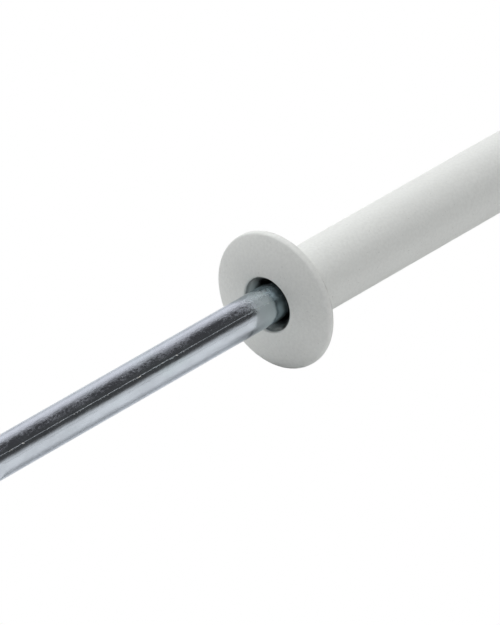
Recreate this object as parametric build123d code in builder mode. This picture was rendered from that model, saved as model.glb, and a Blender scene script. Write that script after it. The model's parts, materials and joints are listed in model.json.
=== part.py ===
from build123d import *
from math import radians, sin
import os

# A blind rivet as it is supplied, before it is set, in millimetres.
#
# It has two pieces. The rivet body is a flanged aluminium tube, painted on its
# outside. The mandrel is a headed steel pin through the body: its head closes the
# body's blind end, and its stem stands out of the flange for the setting tool.
#
# Frame: the rivet's axis is X, and +X is the way the rivet goes into its hole. The
# origin is on the axis, in the plane of the seat, which is the flange's face that
# lands on the sheet. The flange's dome and the stem are on the -X side, +Z is up.

# --- rivet body -----------------------------------------------------------------
shank_diameter = 4.92         # over the paint; the drilled hole is 4.95 to 5.0
shank_length = 30.0           # from the seat to the blind end
flange_diameter = 9.84
rim_thickness = 0.47          # the flange's cylindrical edge
dome_rise = 0.70              # from the rim's front edge to the lip of the mouth
dome_edge_slope = 22.0        # degrees, where the dome leaves the rim
rim_front_radius = 0.25       # edge between the rim and the dome
rim_back_radius = 0.12        # edge between the rim and the seat
seat_fillet_radius = 0.12     # between the seat and the shank
shank_end_radius = 0.30       # outer edge of the blind end

# --- mandrel --------------------------------------------------------------------
stem_diameter = 2.65
stem_reach = 31.2             # how far the stem's tail stands out beyond the seat
tail_point_length = 2.3       # four pinched facets that end the stem
tail_tip_width = 0.7          # small square that the pinch leaves at the tip
head_length = 2.7             # from the head's underside to the top of its dome
head_barrel_length = 1.55     # straight side of the head
head_shoulder_radius = 0.55   # between the head's side and its dome
head_edge_radius = 0.16       # outer edge of the head's underside
head_fillet_radius = 0.28     # between the stem and the head's underside
neck_setback = 2.4            # from the head's underside to the break neck's middle
neck_width = 1.5              # steel left between the neck's two notches
notch_angle = 80.0            # degrees between the two sides of a notch
notch_root_radius = 0.10

# --- fits between the two pieces ------------------------------------------------
bore_clearance = 0.15         # in radius, between the stem and the bore
nip_clearance = 0.02          # in radius, between the stem and the nipped blind end
head_clearance = 0.02         # between the blind end and the head's underside
head_setback = 0.22           # how much smaller the head's radius is than the shank's
nip_length = 0.9              # straight length of the nip
nip_ramp_length = 0.6         # cone that leads from the bore to the nip
nip_chamfer = 0.38            # opens the nip for the fillet under the head
mouth_flare = 0.545           # how much wider in radius the mouth is than the bore
mouth_depth = 0.95            # of the mouth's cone, along the axis
mouth_lip_radius = 0.14       # edge between the dome and the mouth's cone
mouth_root_radius = 0.60      # between the mouth's cone and the bore

# --- worked out from the above --------------------------------------------------
shank_radius = shank_diameter / 2
flange_radius = flange_diameter / 2
stem_radius = stem_diameter / 2
bore_radius = stem_radius + bore_clearance
nip_radius = stem_radius + nip_clearance
mouth_radius = bore_radius + mouth_flare
lip_place = -(rim_thickness + dome_rise)
nip_end = shank_length - nip_chamfer
nip_start = nip_end - nip_length

head_radius = shank_radius - head_setback
head_underside = shank_length + head_clearance
head_barrel_end = head_underside + head_barrel_length
head_top = head_underside + head_length
neck_place = head_underside - neck_setback
tail_tip = -stem_reach


def ring(part, place, radius):
    """The round edge of a turned part at this place on the axis, with this radius."""
    return (
        part.edges()
        .filter_by(GeomType.CIRCLE)
        .sort_by(lambda edge: abs(edge.arc_center.X - place) + abs(edge.radius - radius))
        .first
    )


# The rivet body is one turned profile: its blind end, the outside of the shank, the
# flange, the dome, the cone of the mouth, and the bore back to the nip.
with BuildPart() as rivet_body:
    with BuildSketch(Plane.XZ):
        with BuildLine():
            Polyline(
                (nip_start, nip_radius),
                (nip_end, nip_radius),
                (shank_length, nip_radius + nip_chamfer),
                (shank_length, shank_radius),
                (0, shank_radius),
                (0, flange_radius),
                (-rim_thickness, flange_radius),
            )
            TangentArc(
                (-rim_thickness, flange_radius),
                (lip_place, mouth_radius),
                tangent=Vector(0, -1).rotate(Axis.Z, -dome_edge_slope),
            )
            Polyline(
                (lip_place, mouth_radius),
                (lip_place + mouth_depth, bore_radius),
                (nip_start - nip_ramp_length, bore_radius),
                (nip_start, nip_radius),
            )
        make_face()
    revolve(axis=Axis.X)
    fillet(ring(rivet_body, 0, flange_radius), rim_back_radius)
    fillet(ring(rivet_body, -rim_thickness, flange_radius), rim_front_radius)
    fillet(ring(rivet_body, lip_place, mouth_radius), mouth_lip_radius)
    fillet(ring(rivet_body, lip_place + mouth_depth, bore_radius), mouth_root_radius)
    fillet(ring(rivet_body, 0, shank_radius), seat_fillet_radius)
    fillet(ring(rivet_body, shank_length, shank_radius), shank_end_radius)

# The mandrel is turned too. The break neck and the tail are pinched into it later.
with BuildPart() as mandrel:
    with BuildSketch(Plane.XZ):
        with BuildLine():
            Polyline(
                (head_top, 0),
                (tail_tip, 0),
                (tail_tip, stem_radius),
                (head_underside, stem_radius),
                (head_underside, head_radius),
                (head_barrel_end, head_radius),
            )
            TangentArc((head_top, 0), (head_barrel_end, head_radius), tangent=(0, 1))
        make_face()
    revolve(axis=Axis.X)
    fillet(ring(mandrel, head_underside, stem_radius), head_fillet_radius)
    fillet(ring(mandrel, head_underside, head_radius), head_edge_radius)
    fillet(ring(mandrel, head_barrel_end, head_radius), head_shoulder_radius)

    # Two opposite notches with rounded roots leave the break neck between them. Their
    # sides are drawn on past the stem's surface, so that each notch opens to the air.
    root_rise = notch_root_radius * (1 / sin(radians(notch_angle / 2)) - 1)
    notch_point = Vector(neck_place, neck_width / 2 - root_rise)
    with BuildSketch(Plane.XZ):
        with BuildLine():
            tail_side = PolarLine(notch_point, stem_diameter, 90 + notch_angle / 2)
            head_side = PolarLine(notch_point, stem_diameter, 90 - notch_angle / 2)
            Line(tail_side @ 1, head_side @ 1)
        make_face()
        fillet(vertices().group_by(Axis.Y)[0], notch_root_radius)
        mirror(about=Plane.XZ)
    extrude(amount=stem_radius, both=True, mode=Mode.SUBTRACT)

    # Four facets taper the stem's end to a small square tip.
    taper = Vector(tail_point_length, 0, stem_radius - tail_tip_width / 2)
    facet = Plane((tail_tip, 0, tail_tip_width / 2), taper, taper.cross(Vector(0, 1, 0)))
    for turn in (0, 90, 180, 270):
        split(bisect_by=Plane(Rotation(turn, 0, 0) * facet.location), keep=Keep.BOTTOM)

rivet_body.part.label = "rivet_body"
mandrel.part.label = "mandrel"

os.makedirs("parts", exist_ok=True)
export_step(rivet_body.part, "parts/rivet_body.step")
export_step(mandrel.part, "parts/mandrel.step")
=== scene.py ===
"""Looks of a painted blind rivet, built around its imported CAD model."""

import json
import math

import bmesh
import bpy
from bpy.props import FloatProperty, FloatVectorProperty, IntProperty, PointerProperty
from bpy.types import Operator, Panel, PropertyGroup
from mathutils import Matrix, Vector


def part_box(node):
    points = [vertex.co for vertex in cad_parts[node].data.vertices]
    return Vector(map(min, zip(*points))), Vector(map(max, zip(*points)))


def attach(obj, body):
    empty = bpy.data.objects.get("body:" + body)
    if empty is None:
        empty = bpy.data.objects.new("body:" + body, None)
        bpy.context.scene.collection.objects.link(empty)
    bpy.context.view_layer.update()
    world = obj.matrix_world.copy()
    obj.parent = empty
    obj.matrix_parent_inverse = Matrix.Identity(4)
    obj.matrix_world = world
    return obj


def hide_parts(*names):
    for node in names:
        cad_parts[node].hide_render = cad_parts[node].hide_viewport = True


bl_info = {
    "name": "Painted Blind Rivet",
    "version": (1, 0, 0),
    "blender": (4, 5, 0),
    "location": "View3D > Sidebar > Rivet",
    "description": "Makes a painted blind rivet, its plated mandrel and a pale stage",
    "category": "Object",
}

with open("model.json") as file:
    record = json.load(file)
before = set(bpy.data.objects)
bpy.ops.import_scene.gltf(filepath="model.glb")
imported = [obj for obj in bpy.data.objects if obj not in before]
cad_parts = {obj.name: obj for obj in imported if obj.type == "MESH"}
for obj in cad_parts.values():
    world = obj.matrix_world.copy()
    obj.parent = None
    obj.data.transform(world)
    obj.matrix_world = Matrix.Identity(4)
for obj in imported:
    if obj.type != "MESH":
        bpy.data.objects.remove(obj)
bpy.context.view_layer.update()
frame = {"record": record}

MM = 0.001
MICRON = 0.000001
MOUNTS = {mount["name"]: mount for mount in frame["record"]["mounts"]}
BODY_LOW, BODY_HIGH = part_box("rivet_body")
MANDREL_LOW, MANDREL_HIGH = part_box("mandrel")
SHANK_RADIUS = MOUNTS["shank"]["dims"]["r_mm"] * MM
STEM_RADIUS = MOUNTS["tail"]["dims"]["r_mm"] * MM


# --- what a user may change ---------------------------------------------------------------


def length(name, description, default):
    """A size in metres, shown in the scene's own unit."""
    return FloatProperty(
        name=name, description=description, default=default, min=0.0,
        unit="LENGTH", precision=5,
    )


def angle(name, description, degrees):
    """An angle, shown in degrees."""
    return FloatProperty(
        name=name, description=description, default=math.radians(degrees), subtype="ANGLE",
    )


def amount(name, description, default):
    """A plain number, zero or more."""
    return FloatProperty(name=name, description=description, default=default, min=0.0)


def colour(name, description, default):
    """A colour in linear values."""
    return FloatVectorProperty(
        name=name, description=description, default=default, min=0.0, max=1.0,
        size=3, subtype="COLOR",
    )


class RivetBodySettings(PropertyGroup):
    """Sizes and finish of the flanged tube."""

    rim: length("Rim", "Length of the flange's cylindrical edge", 0.47 * MM)
    rim_front: length("Rim front edge", "Radius between the rim and the dome", 0.25 * MM)
    rim_back: length("Rim back edge", "Radius between the rim and the seat", 0.12 * MM)
    dome_slope: angle("Dome slope", "Slope of the dome where it meets the rim", 22.0)
    seat_fillet: length("Seat fillet", "Radius between the seat and the shank", 0.12 * MM)
    end_edge: length("End edge", "Radius of the blind end's outer edge", 0.30 * MM)
    dome_rise: length("Dome rise", "From the rim's front edge to the mouth's lip", 0.70 * MM)
    mouth_radius: length("Mouth radius", "Radius of the lip round the mouth", 2.02 * MM)
    mouth_depth: length("Mouth depth", "Depth of the mouth's cone", 0.95 * MM)
    mouth_lip: length("Mouth lip", "Radius between the dome and the cone", 0.14 * MM)
    mouth_root: length("Mouth root", "Radius between the cone and the bore", 0.60 * MM)
    bore_radius: length("Bore radius", "Radius of the bore that the stem runs in", 1.475 * MM)
    nip_radius: length("Nip radius", "Radius of the bore where it is nipped", 1.345 * MM)
    nip_length: length("Nip length", "Straight length of the nip", 0.90 * MM)
    nip_ramp: length("Nip ramp", "Cone that leads from the bore to the nip", 0.60 * MM)
    nip_chamfer: length("Nip chamfer", "Chamfer that opens the nip", 0.38 * MM)
    columns: IntProperty(
        name="Columns", description="Facets round the body", default=256, min=24,
    )
    coat: colour("Coat", "Colour of the paint", (0.762, 0.777, 0.758))
    bare: colour("Bare metal", "Colour of the metal in the mouth", (0.66, 0.68, 0.67))


class MandrelSettings(PropertyGroup):
    """Sizes and finish of the headed pin."""

    head_length: length("Head length", "From the head's underside to its top", 2.70 * MM)
    head_side: length("Head side", "Length of the head's straight side", 1.55 * MM)
    head_fillet: length("Head fillet", "Radius between the stem and the head", 0.28 * MM)
    head_edge: length("Head edge", "Radius of the underside's outer edge", 0.16 * MM)
    head_shoulder: length("Head shoulder", "Radius between the side and the dome", 0.55 * MM)
    neck_setback: length("Neck setback", "From the head to the break neck", 2.40 * MM)
    neck_width: length("Neck width", "Metal left between the two notches", 1.50 * MM)
    notch_angle: angle("Notch angle", "Angle between the two sides of a notch", 80.0)
    notch_root: length("Notch root", "Radius at the bottom of a notch", 0.10 * MM)
    point: length("Point", "Length of the pinched point at the tail", 2.30 * MM)
    tip: length("Tip", "Width of the small square at the very tip", 0.70 * MM)
    die_line: angle("Die line", "Place of the die's scratch, up from the -Y side", 44.0)
    die_line_depth: length("Die line depth", "Depth of the die's scratch", 0.018 * MM)
    columns: IntProperty(
        name="Columns", description="Facets round the wire", default=360, min=24,
    )
    zinc: colour("Zinc", "Colour of the plating", (0.605, 0.65, 0.705))


class StageSettings(PropertyGroup):
    """The floor, the light and the camera."""

    azimuth: angle("Azimuth", "Turn of the camera round the upright axis", -49.4)
    elevation: angle("Elevation", "Height of the camera above the horizon", 29.4)
    distance: length("Distance", "From the seat's centre to the camera", 0.643)
    lens: FloatProperty(
        name="Lens", description="Focal length of the camera", default=554.0, min=1.0,
        unit="CAMERA",
    )
    aside: length("Aside", "How far left of the seat's centre the camera aims", 1.87 * MM)
    below: length("Below", "How far under the seat's centre the camera aims", 0.935 * MM)
    floor: colour("Floor", "Colour of the floor", (0.96, 0.96, 0.96))
    floor_glow: amount("Floor glow", "Light that the floor adds of its own", 0.02)
    shade_reach: length("Shade reach", "How far the floor's contact shade reaches", 5.2 * MM)
    shade_depth: amount("Shade depth", "Brightness left in the middle of that shade", 0.0)
    sweep: amount("Sweep", "Light from the white sweep low down on the +X side", 0.80)
    backdrop: amount("Backdrop", "Light from the white backdrop on the +Y side", 1.12)
    gloom: amount("Gloom", "Light from the dark part over the sweep", 0.07)
    front: amount("Front", "Light from above on the -X side", 0.20)
    back_light: amount("Back light", "Power of the large light behind, in watts", 1.62)
    top_light: amount("Top light", "Power of the large light overhead, in watts", 0.62)


# --- outlines, as points (x, r) of a turned shape ---------------------------------------

FLANGE_DOME_STEPS = 64
RIM_EDGE_STEPS = 7       # steps of the dome that the rim's rounded front edge takes over
LIP_EDGE_STEPS = 5       # steps of the dome that the mouth's rolled lip takes over
HEAD_DOME_STEPS = 40
SHOULDER_STEPS = 12      # steps of the head's dome that its rounded shoulder takes over
BODY_RUN = 0.25 * MM     # longest straight run between two points of an outline
MANDREL_RUN = 0.5 * MM


def rounded(corners, steps=10):
    """The points of an outline whose corners (x, r, fillet radius) are rounded."""
    points = []
    for i, (x, r, radius) in enumerate(corners):
        here = Vector((x, r))
        if radius == 0.0:
            points.append(here)
            continue
        back = (Vector(corners[i - 1][:2]) - here).normalized()
        ahead = (Vector(corners[(i + 1) % len(corners)][:2]) - here).normalized()
        half = back.angle(ahead) / 2
        centre = here + (back + ahead).normalized() * radius / math.sin(half)
        start = here + back * radius / math.tan(half) - centre
        end = here + ahead * radius / math.tan(half) - centre
        turn = -start.angle_signed(end)
        for step in range(steps + 1):
            points.append(centre + Matrix.Rotation(turn * step / steps, 2) @ start)
    return points


def tangent_arc(start, end, leave, steps):
    """Points of the arc from start to end that leaves start along a direction."""
    chord = end - start
    half = leave.angle(chord)
    radius = chord.length / (2 * math.sin(half))
    side = Vector((-leave.y, leave.x))
    if side.dot(chord) < 0:
        side = -side
    points = []
    for step in range(steps + 1):
        turn = 2 * half * step / steps
        points.append(
            start + leave * radius * math.sin(turn) + side * radius * (1 - math.cos(turn))
        )
    return points


def filled_in(points, longest, closed):
    """The same outline with more points on its long runs."""
    result = []
    ends = points[1:] + points[:1] if closed else points[1:]
    for start, end in zip(points, ends):
        runs = max(1, math.ceil((end - start).length / longest))
        result += [start.lerp(end, run / runs) for run in range(runs)]
    return result if closed else result + points[-1:]


def body_outline(settings):
    """The closed outline of the flanged tube."""
    lip = -(settings.rim + settings.dome_rise)
    flange = BODY_HIGH.z
    blind_end = BODY_HIGH.x
    nip_end = blind_end - settings.nip_chamfer
    nip_start = nip_end - settings.nip_length
    slope = settings.dome_slope
    dome = tangent_arc(
        Vector((-settings.rim, flange)), Vector((lip, settings.mouth_radius)),
        Vector((-math.sin(slope), -math.cos(slope))), FLANGE_DOME_STEPS,
    )
    corners = [
        (nip_start - settings.nip_ramp, settings.bore_radius, 0.0),
        (nip_start, settings.nip_radius, 0.0),
        (nip_end, settings.nip_radius, 0.0),
        (blind_end, settings.nip_radius + settings.nip_chamfer, 0.0),
        (blind_end, SHANK_RADIUS, settings.end_edge),
        (0.0, SHANK_RADIUS, settings.seat_fillet),
        (0.0, flange, settings.rim_back),
        (-settings.rim, flange, settings.rim_front),
    ]
    corners += [(point.x, point.y, 0.0) for point in dome[RIM_EDGE_STEPS:-LIP_EDGE_STEPS]]
    corners += [
        (lip, settings.mouth_radius, settings.mouth_lip),
        (lip + settings.mouth_depth, settings.bore_radius, settings.mouth_root),
    ]
    return filled_in(rounded(corners), BODY_RUN, closed=True)


def mandrel_outline(settings):
    """The outline of the headed pin, from the middle of its tip to the top of its head."""
    tail = MANDREL_LOW.x
    head_radius = MANDREL_HIGH.z
    top = MANDREL_HIGH.x
    underside = top - settings.head_length
    side_end = underside + settings.head_side
    dome = tangent_arc(
        Vector((top, 0.0)), Vector((side_end, head_radius)), Vector((0.0, 1.0)),
        HEAD_DOME_STEPS,
    )
    dome.reverse()
    corners = [
        (tail, 0.0, 0.0),
        (tail, STEM_RADIUS, 0.0),
        (underside, STEM_RADIUS, settings.head_fillet),
        (underside, head_radius, settings.head_edge),
        (side_end, head_radius, settings.head_shoulder),
    ]
    corners += [
        (point.x, max(point.y, 0.0), 0.0) for point in dome[SHOULDER_STEPS + 1:]
    ]
    return filled_in(rounded(corners), MANDREL_RUN, closed=False)


# --- Geometry Nodes -----------------------------------------------------------------------

MERGE_DISTANCE = 0.1 * MICRON   # closes the seam of the sweep and the poles on the axis


class Wiring:
    """Adds nodes to a node tree and joins them up."""

    def __init__(self, tree):
        self.tree = tree

    def add(self, kind, inputs=None, **settings):
        """A node of this kind. inputs are values or other nodes' outputs, by name or place."""
        node = self.tree.nodes.new(kind)
        for name, value in settings.items():
            setattr(node, name, value)
        for name, value in (inputs or {}).items():
            self.feed(node.inputs[name], value)
        return node

    def feed(self, socket, value):
        """Joins an output to the socket, or sets the socket's own value."""
        if isinstance(value, bpy.types.NodeSocket):
            self.tree.links.new(value, socket)
        else:
            socket.default_value = value

    def math(self, operation, *values, clamp=False):
        """The result of a Math node."""
        node = self.add("ShaderNodeMath", dict(enumerate(values)), operation=operation)
        node.use_clamp = clamp
        return node.outputs[0]

    def smooth(self, value, low, high, to_low=0.0, to_high=1.0):
        """A value that goes smoothly from to_low at low to to_high at high."""
        node = self.add(
            "ShaderNodeMapRange",
            {"Value": value, 1: low, 2: high, 3: to_low, 4: to_high},
            interpolation_type="SMOOTHSTEP",
        )
        return node.outputs[0]


def turn_round_axis(wiring, parts):
    """The angle of a place round the X axis, up from the -Y side."""
    left = wiring.math("MULTIPLY", parts["Y"], -1.0)
    return wiring.math("ARCTAN2", parts["Z"], left)


TREE_SOCKETS = {
    "Outline": "NodeSocketGeometry",
    "Columns": "NodeSocketInt",
    "Sweep Radius": "NodeSocketFloat",
    "Scratch Place": "NodeSocketFloat",
    "Scratch Depth": "NodeSocketFloat",
    "Scratch Width": "NodeSocketFloat",
    "Finish": "NodeSocketMaterial",
}


def turning_tree():
    """Nodes that turn an outline round the X axis and press one long scratch into it."""
    tree = bpy.data.node_groups.new("turned_round_x", "GeometryNodeTree")
    for name, kind in TREE_SOCKETS.items():
        tree.interface.new_socket(name, in_out="INPUT", socket_type=kind)
    tree.interface.new_socket("Turned", in_out="OUTPUT", socket_type="NodeSocketGeometry")
    wiring = Wiring(tree)
    given = wiring.add("NodeGroupInput").outputs

    # The outline becomes the profile of a sweep round a small circle.
    circle = wiring.add(
        "GeometryNodeCurvePrimitiveCircle",
        {"Resolution": given["Columns"], "Radius": given["Sweep Radius"]}, mode="RADIUS",
    )
    path = wiring.add(
        "GeometryNodeSetCurveNormal", {"Curve": circle.outputs["Curve"]}, mode="Z_UP",
    )
    inward = wiring.math("MULTIPLY", given["Sweep Radius"], -1.0)
    offset = wiring.add("ShaderNodeCombineXYZ", {"X": inward})
    profile = wiring.add(
        "GeometryNodeTransform",
        {
            "Geometry": given["Outline"], "Translation": offset.outputs[0],
            "Rotation": (0.0, 0.0, -math.pi / 2),
        },
    )
    swept = wiring.add(
        "GeometryNodeCurveToMesh",
        {"Curve": path.outputs["Curve"], "Profile Curve": profile.outputs["Geometry"]},
    )
    along_x = wiring.add(
        "GeometryNodeTransform",
        {"Geometry": swept.outputs["Mesh"], "Rotation": (0.0, math.pi / 2, 0.0)},
    )
    closed = wiring.add(
        "GeometryNodeMergeByDistance",
        {"Geometry": along_x.outputs["Geometry"], "Distance": MERGE_DISTANCE},
    )

    # The scratch is a narrow V along the whole length, at one place round the axis.
    position = wiring.add("GeometryNodeInputPosition").outputs[0]
    parts = wiring.add("ShaderNodeSeparateXYZ", {0: position}).outputs
    turn = turn_round_axis(wiring, parts)
    away = wiring.math("ABSOLUTE", wiring.math("SUBTRACT", turn, given["Scratch Place"]))
    share = wiring.math("DIVIDE", away, given["Scratch Width"])
    depth = wiring.math(
        "MULTIPLY", wiring.math("SUBTRACT", 1.0, share, clamp=True), given["Scratch Depth"],
    )
    outward = wiring.add("ShaderNodeCombineXYZ", {"Y": parts["Y"], "Z": parts["Z"]})
    unit = wiring.add("ShaderNodeVectorMath", {0: outward.outputs[0]}, operation="NORMALIZE")
    press = wiring.add(
        "ShaderNodeVectorMath",
        {0: unit.outputs[0], "Scale": wiring.math("MULTIPLY", depth, -1.0)}, operation="SCALE",
    )
    scratched = wiring.add(
        "GeometryNodeSetPosition",
        {"Geometry": closed.outputs["Geometry"], "Offset": press.outputs[0]},
    )
    smooth = wiring.add(
        "GeometryNodeSetShadeSmooth", {"Geometry": scratched.outputs["Geometry"]},
    )
    real = wiring.add("GeometryNodeRealizeInstances", {"Geometry": smooth.outputs[0]})
    finished = wiring.add(
        "GeometryNodeSetMaterial",
        {"Geometry": real.outputs["Geometry"], "Material": given["Finish"]},
    )
    wiring.add("NodeGroupOutput", {"Turned": finished.outputs["Geometry"]})
    return tree


def turned(name, outline, closed, **inputs):
    """A mesh object that the tree turns from an outline of (x, r) points.

    inputs are the tree's named inputs, in small letters and joined by underscores.
    """
    curve = bpy.data.curves.new(name + "_outline", "CURVE")
    curve.dimensions = "3D"
    spline = curve.splines.new("POLY")
    spline.points.add(len(outline) - 1)
    for point, (x, r) in zip(spline.points, outline):
        point.co = (x, r, 0.0, 1.0)
    spline.use_cyclic_u = closed
    drawn = bpy.data.objects.new(name + "_outline", curve)
    bpy.context.scene.collection.objects.link(drawn)

    tree = bpy.data.node_groups.get("turned_round_x") or turning_tree()
    modifier = drawn.modifiers.new("Turn", "NODES")
    modifier.node_group = tree
    for item in tree.interface.items_tree:
        key = item.name.lower().replace(" ", "_")
        if item.in_out == "INPUT" and key in inputs:
            modifier[item.identifier] = inputs[key]
    made = evaluated_mesh(drawn)
    bpy.data.objects.remove(drawn)
    bpy.data.curves.remove(curve)

    piece = bpy.data.objects.new(name, made)
    made.name = name
    bpy.context.scene.collection.objects.link(piece)
    return piece


def evaluated_mesh(shown):
    """A plain mesh of an object with its modifiers worked out."""
    graph = bpy.context.evaluated_depsgraph_get()
    return bpy.data.meshes.new_from_object(
        shown.evaluated_get(graph), preserve_all_data_layers=True, depsgraph=graph,
    )


def facing_out(mesh):
    """Turns a closed mesh's faces outwards if they point in."""
    work = bmesh.new()
    work.from_mesh(mesh)
    if work.calc_volume(signed=True) < 0:
        bmesh.ops.reverse_faces(work, faces=work.faces)
    work.to_mesh(mesh)
    work.free()


# --- the mandrel's cuts -------------------------------------------------------------------

CUT_TOLERANCE = 0.01 * MICRON
TAIL_FACETS = 4


def pinch_tail(mesh, settings):
    """Four flat facets that taper the stem's end to a small square tip."""
    tail = MANDREL_LOW.x
    well_past = tail + 2 * settings.point
    rise = STEM_RADIUS - settings.tip / 2
    work = bmesh.new()
    work.from_mesh(mesh)
    for facet in range(TAIL_FACETS):
        spin = Matrix.Rotation(facet * math.tau / TAIL_FACETS, 3, "X")
        near = [face for face in work.faces if face.calc_center_median().x < well_past]
        around = {item for face in near for item in (*face.verts, *face.edges)}
        cut = bmesh.ops.bisect_plane(
            work, geom=[*near, *around], dist=CUT_TOLERANCE,
            plane_co=spin @ Vector((tail, 0.0, settings.tip / 2)),
            plane_no=spin @ Vector((-rise, 0.0, settings.point)), clear_outer=True,
        )
        edges = [item for item in cut["geom_cut"] if isinstance(item, bmesh.types.BMEdge)]
        for face in bmesh.ops.contextual_create(work, geom=edges)["faces"]:
            face.smooth = False
    bmesh.ops.recalc_face_normals(work, faces=work.faces)
    work.to_mesh(mesh)
    work.free()


def notch_cutter(settings):
    """Two wedges, above and below the wire, that cut the break neck's notches."""
    place = MANDREL_HIGH.x - settings.head_length - settings.neck_setback
    half = settings.notch_angle / 2
    reach = 2 * STEM_RADIUS
    point = settings.neck_width / 2 - settings.notch_root * (1 / math.sin(half) - 1)
    side = reach * math.tan(half)
    outline = rounded([
        (place - side, point + reach, 0.0), (place, point, settings.notch_root),
        (place + side, point + reach, 0.0),
    ])
    mesh = bpy.data.meshes.new("notch_cutter")
    work = bmesh.new()
    for way in (1, -1):
        ends = []
        for y in (-reach, reach):
            verts = [work.verts.new((x, y, z * way)) for x, z in outline]
            ends.append(work.faces.new(verts))
        bmesh.ops.bridge_loops(work, edges=[edge for face in ends for edge in face.edges])
    bmesh.ops.recalc_face_normals(work, faces=work.faces)
    work.to_mesh(mesh)
    work.free()
    cutter = bpy.data.objects.new("notch_cutter", mesh)
    bpy.context.scene.collection.objects.link(cutter)
    return cutter


def cut_neck(piece, settings):
    """Takes the break neck's two notches out of the wire."""
    cutter = notch_cutter(settings)
    cut = piece.modifiers.new("Notches", "BOOLEAN")
    cut.operation = "DIFFERENCE"
    cut.solver = "EXACT"
    cut.object = cutter
    whole = piece.data
    notched = evaluated_mesh(piece)
    piece.modifiers.remove(cut)
    piece.data = notched
    bpy.data.meshes.remove(whole)
    bpy.data.objects.remove(cutter)
    notched.name = piece.name


# --- finishes -----------------------------------------------------------------------------

WHITE = (1.0, 1.0, 1.0, 1.0)
SPECK_GREY = (0.25, 0.25, 0.24, 1.0)
# A painted shade for the back edge of the rim.
PAINTED_SHADE_BROWN = (0.27, 0.26, 0.23, 1.0)
# A painted glint for sparks on the die's scratch.
PAINTED_GLINT = (0.97, 0.95, 0.90, 1.0)

# Tints of a finish's own colour.
LIGHT_COAT = (1.03, 1.03, 1.03)
DARK_COAT = (0.965, 0.965, 0.965)
# A painted shade for the bare metal in the mouth.
SHADED_METAL = (0.42, 0.42, 0.42)
DULL_ZINC = (0.86, 0.86, 0.86)
TEAL_ZINC = (0.96, 1.02, 0.98)
VIOLET_ZINC = (1.0, 0.95, 1.03)

# Sizes of the lumps in each finish.
PEEL_LUMP = 0.22 * MM
PAINT_CLOUD = 1.6 * MM
PAINT_GRIT = 0.07 * MM
PAINT_SPECK = 0.10 * MM
ZINC_CLOUD = 1.0 * MM
ZINC_TINT = 2.6 * MM
ZINC_GRAIN = 0.15 * MM
DRAW_LINE = 0.10 * MM
DIE_GRIT = 0.11 * MM
DIE_SPARK = 0.24 * MM

# How high those lumps stand.
PEEL_HEIGHT = 5.0 * MICRON
PAINT_GRIT_HEIGHT = 1.0 * MICRON
DRAW_LINE_HEIGHT = 3.0 * MICRON
ZINC_CLOUD_HEIGHT = 22.0 * MICRON
ZINC_GRAIN_HEIGHT = 13.0 * MICRON
DIE_GRIT_HEIGHT = 10.0 * MICRON

# Both ends of a fade, as distances along the axis, radii or angles round the wire.
# The next three: where the back edge of the rim gets its painted shade.
RIM_SHADE_STARTS = (-0.16 * MM, -0.04 * MM)
RIM_SHADE_ENDS = (0.02 * MM, 0.05 * MM)
RIM_SHADE_RADII = (4.6 * MM, 4.9 * MM)
BARE_RADII = (1.99 * MM, 2.04 * MM)
# The next two: the ring in the mouth with a painted highlight.
HIGHLIGHT_RING_INNER = (1.70 * MM, 1.84 * MM)
HIGHLIGHT_RING_OUTER = (1.94 * MM, 2.04 * MM)
COARSE_SIDE_STARTS = (0.78, 1.10)
COARSE_SIDE_ENDS = (1.6, 2.2)
# The next two: where a painted reflection of the flange tints the wire teal.
FLANGE_REFLECTION_STARTS = (-4.2 * MM, -2.2 * MM)
FLANGE_REFLECTION_ENDS = (2.0 * MM, 5.0 * MM)
DIE_LINE_EDGE = (0.012, 0.055)

MOST_NOISE = (0.3, 0.7)             # values that most of a noise lies between
ALONG_WIRE = (2.0, 1.0, 1.0)        # stretch of what the drawing has pulled out


def new_finish(name):
    """A material, its wiring, its surface shader and the place on the piece."""
    material = bpy.data.materials.new(name)
    material.use_nodes = True
    wiring = Wiring(material.node_tree)
    shader = material.node_tree.nodes["Principled BSDF"]
    place = wiring.add("ShaderNodeTexCoord").outputs["Object"]
    return material, wiring, shader, place


def opaque(base, tint=(1.0, 1.0, 1.0)):
    """A socket's colour: a base colour times a tint, no brighter than white."""
    return (*[min(1.0, part * share) for part, share in zip(base, tint)], 1.0)


def noise(wiring, place, size, stretch=(1.0, 1.0, 1.0), detail=3.0):
    """Noise whose lumps have this size, drawn out along X, Y or Z by stretch."""
    mapping = wiring.add(
        "ShaderNodeMapping", {"Vector": place, "Scale": [1.0 / (size * s) for s in stretch]},
    )
    texture = wiring.add(
        "ShaderNodeTexNoise", {"Vector": mapping.outputs[0], "Scale": 1.0, "Detail": detail},
    )
    return texture.outputs["Fac"]


def hypotenuse(wiring, first, second):
    """The long side over two others, such as a radius over Y and Z."""
    squares = [wiring.math("MULTIPLY", side, side) for side in (first, second)]
    return wiring.math("SQRT", wiring.math("ADD", *squares))


def band(wiring, value, starts, ends):
    """1 between two fades and 0 outside them."""
    return wiring.math(
        "MULTIPLY", wiring.smooth(value, *starts), wiring.smooth(value, *ends, 1.0, 0.0),
    )


def mix(wiring, share, first, second):
    """A colour between two."""
    node = wiring.add("ShaderNodeMix", {0: share, 6: first, 7: second}, data_type="RGBA")
    return node.outputs[2]


def bump(wiring, height, distance, below=None):
    """Normals of a surface with this height map."""
    inputs = {"Height": height, "Distance": distance, "Strength": 1.0}
    if below is not None:
        inputs["Normal"] = below
    return wiring.add("ShaderNodeBump", inputs).outputs[0]


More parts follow.
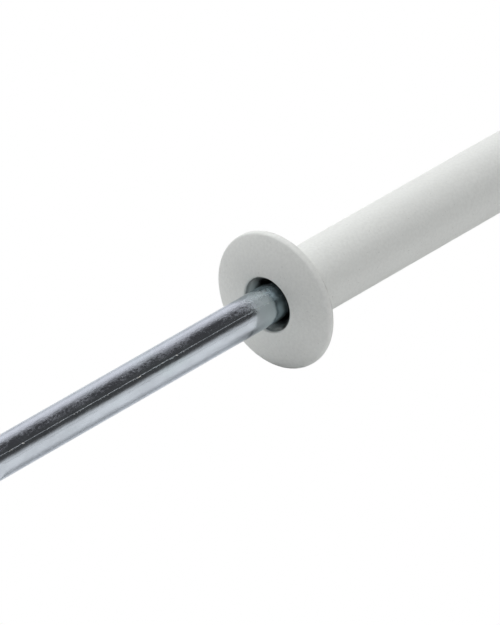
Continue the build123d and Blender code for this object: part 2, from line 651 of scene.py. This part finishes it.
def painted_finish(settings):
    """Satin off-white paint with a fine peel, worn off inside the mouth."""
    material, wiring, shader, place = new_finish("painted_aluminium")
    peel = noise(wiring, place, PEEL_LUMP, detail=2.0)
    clouds = noise(wiring, place, PAINT_CLOUD)
    grit = noise(wiring, place, PAINT_GRIT, detail=1.0)
    mottle = mix(
        wiring, wiring.smooth(peel, *MOST_NOISE), opaque(settings.coat, DARK_COAT),
        opaque(settings.coat, LIGHT_COAT),
    )
    even = wiring.smooth(clouds, 0.35, 0.65, 0.0, 0.35)
    coated = mix(wiring, even, mottle, opaque(settings.coat))
    specks = wiring.smooth(noise(wiring, place, PAINT_SPECK, detail=0.0), 0.80, 0.86, 0.0, 0.35)
    coated = mix(wiring, specks, coated, SPECK_GREY)

    # The back edge of the rim is darkened in patches: a painted shade by the seat.
    parts = wiring.add("ShaderNodeSeparateXYZ", {0: place}).outputs
    radius = hypotenuse(wiring, parts["Y"], parts["Z"])
    painted_rim_shade = wiring.math(
        "MULTIPLY", band(wiring, parts["X"], RIM_SHADE_STARTS, RIM_SHADE_ENDS),
        wiring.smooth(radius, *RIM_SHADE_RADII),
    )
    painted_rim_shade = wiring.math("MULTIPLY", painted_rim_shade, wiring.smooth(clouds, 0.42, 0.62, 0.1, 0.85))
    coated = mix(wiring, painted_rim_shade, coated, PAINTED_SHADE_BROWN)

    # The paint ends raggedly in the mouth. Its bare metal is darkened, a painted shade,
    # save one ring kept bright, a painted highlight.
    ragged = wiring.math("MULTIPLY_ADD", clouds, 0.10 * MM, radius)
    bare = wiring.smooth(ragged, *BARE_RADII, 1.0, 0.0)
    wobbling = wiring.math("MULTIPLY_ADD", clouds, 0.22 * MM, radius)
    ring = band(wiring, wobbling, HIGHLIGHT_RING_INNER, HIGHLIGHT_RING_OUTER)
    metal = mix(wiring, ring, opaque(settings.bare, SHADED_METAL), opaque(settings.bare))
    wiring.feed(shader.inputs["Base Color"], mix(wiring, bare, coated, metal))
    wiring.feed(shader.inputs["Metallic"], bare)
    paint_roughness = wiring.smooth(grit, *MOST_NOISE, 0.46, 0.56)
    roughness = wiring.add("ShaderNodeMix", {0: bare, 2: paint_roughness, 3: 0.32})
    wiring.feed(shader.inputs["Roughness"], roughness.outputs[0])
    shader.inputs["IOR"].default_value = 1.47

    peeled = bump(wiring, peel, PEEL_HEIGHT)
    wiring.feed(shader.inputs["Normal"], bump(wiring, grit, PAINT_GRIT_HEIGHT, peeled))
    return material


def zinc_finish(settings):
    """Bright zinc plating over drawn wire, with draw lines and cloudy patches."""
    material, wiring, shader, place = new_finish("zinc_plated_steel")
    clouds = noise(wiring, place, ZINC_CLOUD, stretch=ALONG_WIRE, detail=4.0)
    tints = noise(wiring, place, ZINC_TINT, stretch=ALONG_WIRE, detail=2.0)
    lines = noise(wiring, place, DRAW_LINE, stretch=(30.0, 1.0, 1.0))
    grain = noise(wiring, place, ZINC_GRAIN, stretch=(1.5, 1.0, 1.0))
    grit = noise(wiring, place, DIE_GRIT, stretch=ALONG_WIRE, detail=1.0)
    sparks = noise(wiring, place, DIE_SPARK, stretch=ALONG_WIRE, detail=0.0)
    parts = wiring.add("ShaderNodeSeparateXYZ", {0: place}).outputs
    turn = turn_round_axis(wiring, parts)

    # One side of the wire has taken the plating coarser than the rest: it is speckled there,
    # and its chromate film is a little violet. By the flange the zinc is tinted teal: a painted
    # reflection of the flange's paint.
    coarse = band(wiring, turn, COARSE_SIDE_STARTS, COARSE_SIDE_ENDS)
    painted_flange_reflection = wiring.math("MULTIPLY", band(wiring, parts["X"], FLANGE_REFLECTION_STARTS, FLANGE_REFLECTION_ENDS), 0.8)
    teal = opaque(settings.zinc, TEAL_ZINC)
    tone = mix(
        wiring, wiring.smooth(clouds, *MOST_NOISE), opaque(settings.zinc, DULL_ZINC),
        opaque(settings.zinc),
    )
    tone = mix(wiring, wiring.smooth(tints, 0.5, 0.75, 0.0, 0.6), tone, teal)
    tone = mix(
        wiring, wiring.math("MULTIPLY", coarse, 0.45), tone,
        opaque(settings.zinc, VIOLET_ZINC),
    )
    tone = mix(wiring, painted_flange_reflection, tone, teal)
    etched = wiring.smooth(wiring.math("MULTIPLY_ADD", clouds, 0.8, grain), 0.70, 1.10)
    etched = wiring.math("MULTIPLY", etched, wiring.math("MULTIPLY_ADD", coarse, 0.18, 0.06))
    roughness = wiring.math("ADD", etched, 0.10)

    # The die's scratch glints where grit has broken its edge. In places, like a spark, its
    # colour is whitened: a painted glint.
    away = wiring.math("ABSOLUTE", wiring.math("SUBTRACT", turn, settings.die_line))
    near = wiring.smooth(away, *DIE_LINE_EDGE, 1.0, 0.0)
    broken = wiring.math("MULTIPLY", near, wiring.smooth(grit, 0.48, 0.68))
    broken = wiring.math("MULTIPLY", broken, wiring.smooth(tints, 0.40, 0.60, 0.45, 1.0))
    sparks = wiring.math("MULTIPLY", broken, wiring.smooth(sparks, 0.55, 0.66))
    roughness = wiring.math("MULTIPLY_ADD", broken, 0.45, roughness)
    roughness = wiring.math("MULTIPLY_ADD", sparks, 0.2, roughness)

    wiring.feed(shader.inputs["Base Color"], mix(wiring, sparks, tone, PAINTED_GLINT))
    wiring.feed(shader.inputs["Roughness"], roughness)
    shader.inputs["Metallic"].default_value = 1.0
    shader.inputs["Specular Tint"].default_value = (0.80, 0.82, 0.85, 1.0)
    speckled = wiring.math(
        "MULTIPLY", grain, wiring.math("MULTIPLY_ADD", coarse, 0.75, 0.25),
    )
    surface = bump(wiring, lines, DRAW_LINE_HEIGHT)
    surface = bump(wiring, clouds, ZINC_CLOUD_HEIGHT, surface)
    surface = bump(wiring, speckled, ZINC_GRAIN_HEIGHT, surface)
    wiring.feed(shader.inputs["Normal"], bump(wiring, broken, DIE_GRIT_HEIGHT, surface))
    return material


# --- the stage ----------------------------------------------------------------------------

STAGE_HALF_WIDTH = 1.5
FLOOR_DROP = 0.01 * MM              # keeps the floor clear of the flange
SHADE_PLACE = 0.8 * MM              # middle of the contact shade, past the seat
SHADE_SQUEEZE = 3.2                 # how much narrower the shade is along X
SHADE_CORE = 0.4                    # share of the shade's reach that is darkest

# Both ends of a fade in the light from all round, as parts of a direction.
SWEEP_TOP = (0.045, 0.385)
BACKDROP_EDGE = (0.05, 0.77)
FRONT_EDGE = (-0.3, 0.3)

LAMP_DISTANCE = 0.5
LAMP_SIZE = 0.30
BACK_LAMP_WAY = (-0.06, 0.42, 0.90)
TOP_LAMP_WAY = (-0.06, -0.42, 0.90)


def flat_square(name, height):
    """A wide square of the stage at this height, facing up."""
    mesh = bpy.data.meshes.new(name)
    corners = [(-1, -1), (1, -1), (1, 1), (-1, 1)]
    mesh.from_pydata(
        [(x * STAGE_HALF_WIDTH, y * STAGE_HALF_WIDTH, height) for x, y in corners],
        [], [(0, 1, 2, 3)],
    )
    plane = bpy.data.objects.new(name, mesh)
    bpy.context.scene.collection.objects.link(plane)
    return plane


def pale_floor(settings, height):
    """A floor that lights the rivet from below, with a contact shade under its flange."""
    floor = flat_square("floor", height)
    floor.visible_camera = False
    pale, wiring, shader, place = new_finish("pale_floor")
    parts = wiring.add("ShaderNodeSeparateXYZ", {0: place}).outputs
    beyond = wiring.math("SUBTRACT", parts["X"], SHADE_PLACE)
    away = hypotenuse(wiring, wiring.math("MULTIPLY", beyond, SHADE_SQUEEZE), parts["Y"])
    reach = settings.shade_reach
    shade = wiring.smooth(away, SHADE_CORE * reach, reach, 1.0, 0.0)
    deep = opaque(settings.floor, 3 * [settings.shade_depth])
    wiring.feed(
        shader.inputs["Base Color"], mix(wiring, shade, opaque(settings.floor), deep),
    )
    unshaded = wiring.math("SUBTRACT", 1.0, shade)
    wiring.feed(
        shader.inputs["Emission Strength"],
        wiring.math("MULTIPLY", unshaded, settings.floor_glow),
    )
    shader.inputs["Emission Color"].default_value = WHITE
    shader.inputs["Roughness"].default_value = 0.9
    shader.inputs["Specular IOR Level"].default_value = 0.0
    floor.data.materials.append(pale)


def white_sweep(height):
    """What the camera sees under the rivet: plain white, which lights nothing."""
    sweep = flat_square("white_sweep", height)
    sweep.visible_diffuse = False
    sweep.visible_glossy = False
    sweep.visible_transmission = False
    sweep.visible_shadow = False
    white, wiring, _shader, _place = new_finish("white_sweep")
    glow = wiring.add("ShaderNodeEmission", {"Color": WHITE, "Strength": 1.0})
    wiring.feed(white.node_tree.nodes["Material Output"].inputs["Surface"], glow.outputs[0])
    sweep.data.materials.append(white)


def studio_world(settings):
    """Light from all round: a white low sweep and backdrop, and a dark front."""
    world = bpy.data.worlds.new("studio")
    bpy.context.scene.world = world
    world.use_nodes = True
    wiring = Wiring(world.node_tree)
    way = wiring.add("ShaderNodeTexCoord").outputs["Generated"]
    parts = wiring.add("ShaderNodeSeparateXYZ", {0: way}).outputs
    low = wiring.smooth(parts["Z"], *SWEEP_TOP, 1.0, 0.0)
    above = wiring.math("SUBTRACT", 1.0, low)
    backdrop = wiring.math("MULTIPLY", above, wiring.smooth(parts["Y"], *BACKDROP_EDGE))
    dark = wiring.math("SUBTRACT", above, backdrop)
    lit = wiring.math("MULTIPLY", low, settings.sweep)
    lit = wiring.math("MULTIPLY_ADD", backdrop, settings.backdrop, lit)
    lit = wiring.math("MULTIPLY_ADD", dark, settings.gloom, lit)
    front = wiring.math("MULTIPLY", dark, settings.front)
    share = wiring.smooth(parts["X"], *FRONT_EDGE)
    strength = wiring.add("ShaderNodeMix", {0: share, 2: front, 3: lit}).outputs[0]
    seen = wiring.add("ShaderNodeLightPath").outputs["Is Camera Ray"]
    strength = wiring.add("ShaderNodeMix", {0: seen, 2: strength, 3: 1.0}).outputs[0]
    background = world.node_tree.nodes["Background"]
    background.inputs["Color"].default_value = WHITE
    wiring.feed(background.inputs["Strength"], strength)


def area_light(name, direction, power):
    """A large soft light that shines on the origin from this direction."""
    light = bpy.data.lights.new(name, "AREA")
    light.size = LAMP_SIZE
    light.energy = power
    lamp = bpy.data.objects.new(name, light)
    away = Vector(direction).normalized()
    lamp.location = away * LAMP_DISTANCE
    lamp.rotation_mode = "QUATERNION"
    lamp.rotation_quaternion = away.to_track_quat("Z", "Y")
    bpy.context.scene.collection.objects.link(lamp)


def camera_stand(settings):
    """The scene's camera, aimed close to the middle of the seat."""
    camera = bpy.data.cameras.new("camera")
    camera.lens = settings.lens
    camera.clip_start = 0.01
    camera.clip_end = 10.0
    stand = bpy.data.objects.new("camera", camera)
    turn, tilt = settings.azimuth, settings.elevation
    back = Vector((
        math.sin(turn) * math.cos(tilt), -math.cos(turn) * math.cos(tilt), math.sin(tilt),
    ))
    stand.rotation_mode = "QUATERNION"
    stand.rotation_quaternion = back.to_track_quat("Z", "Y")
    right = stand.rotation_quaternion @ Vector((1.0, 0.0, 0.0))
    up = stand.rotation_quaternion @ Vector((0.0, 1.0, 0.0))
    aim = -right * settings.aside - up * settings.below
    stand.location = aim + back * settings.distance
    bpy.context.scene.collection.objects.link(stand)
    bpy.context.scene.camera = stand


# --- operators ----------------------------------------------------------------------------

BODY_SWEEP = 1.0 * MM               # small circles that the outlines are swept round
MANDREL_SWEEP = 0.5 * MM
SCRATCH_COLUMNS = 2                 # facets from the die line's bottom to its edge


def place_piece(piece, body, node):
    """Hides the piece's CAD part and hangs the piece under its body's empty."""
    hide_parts(node)
    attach(piece, body)


class RIVET_OT_body(Operator):
    """Make the painted body: flange, shank and bore"""

    bl_idname = "rivet.body"
    bl_label = "Painted Body"

    def execute(self, context):
        settings = context.scene.rivet_body
        piece = turned(
            "painted_body", body_outline(settings), True, columns=settings.columns,
            sweep_radius=BODY_SWEEP, scratch_place=0.0, scratch_depth=0.0, scratch_width=1.0,
            finish=painted_finish(settings),
        )
        facing_out(piece.data)
        place_piece(piece, "rivet", "rivet_body")
        return {"FINISHED"}


class RIVET_OT_mandrel(Operator):
    """Make the zinc plated mandrel: tail, stem, break neck and head"""

    bl_idname = "rivet.mandrel"
    bl_label = "Plated Mandrel"

    def execute(self, context):
        settings = context.scene.rivet_mandrel
        piece = turned(
            "plated_mandrel", mandrel_outline(settings), False, columns=settings.columns,
            sweep_radius=MANDREL_SWEEP, scratch_place=settings.die_line,
            scratch_depth=settings.die_line_depth,
            scratch_width=SCRATCH_COLUMNS * math.tau / settings.columns,
            finish=zinc_finish(settings),
        )
        facing_out(piece.data)
        pinch_tail(piece.data, settings)
        cut_neck(piece, settings)
        place_piece(piece, "mandrel", "mandrel")
        return {"FINISHED"}


class RIVET_OT_stage(Operator):
    """Make the pale floor, the soft light and the camera"""

    bl_idname = "rivet.stage"
    bl_label = "Stage"

    def execute(self, context):
        settings = context.scene.rivet_stage
        height = BODY_LOW.z - FLOOR_DROP
        pale_floor(settings, height)
        white_sweep(height)
        studio_world(settings)
        area_light("back_light", BACK_LAMP_WAY, settings.back_light)
        area_light("top_light", TOP_LAMP_WAY, settings.top_light)
        camera_stand(settings)
        context.scene.view_settings.view_transform = "Standard"
        return {"FINISHED"}


class RIVET_PT_panel(Panel):
    """The rivet's sizes, finishes and buttons"""

    bl_label = "Painted Blind Rivet"
    bl_idname = "RIVET_PT_panel"
    bl_space_type = "VIEW_3D"
    bl_region_type = "UI"
    bl_category = "Rivet"

    def draw(self, context):
        for operator, group in OPERATORS:
            box = self.layout.box()
            box.operator(operator.bl_idname)
            settings = getattr(context.scene, group)
            for name in settings.__annotations__:
                box.prop(settings, name)


OPERATORS = (
    (RIVET_OT_body, "rivet_body"),
    (RIVET_OT_mandrel, "rivet_mandrel"),
    (RIVET_OT_stage, "rivet_stage"),
)
SETTINGS = {
    "rivet_body": RivetBodySettings,
    "rivet_mandrel": MandrelSettings,
    "rivet_stage": StageSettings,
}
CLASSES = (*SETTINGS.values(), *[operator for operator, group in OPERATORS], RIVET_PT_panel)


def register():
    for cls in CLASSES:
        bpy.utils.register_class(cls)
    for name, group in SETTINGS.items():
        setattr(bpy.types.Scene, name, PointerProperty(type=group))


def unregister():
    for name in SETTINGS:
        delattr(bpy.types.Scene, name)
    for cls in reversed(CLASSES):
        bpy.utils.unregister_class(cls)


def main():
    """Makes everything in order."""
    register()
    bpy.ops.rivet.body()
    bpy.ops.rivet.mandrel()
    bpy.ops.rivet.stage()


if __name__ == "__main__":
    main()
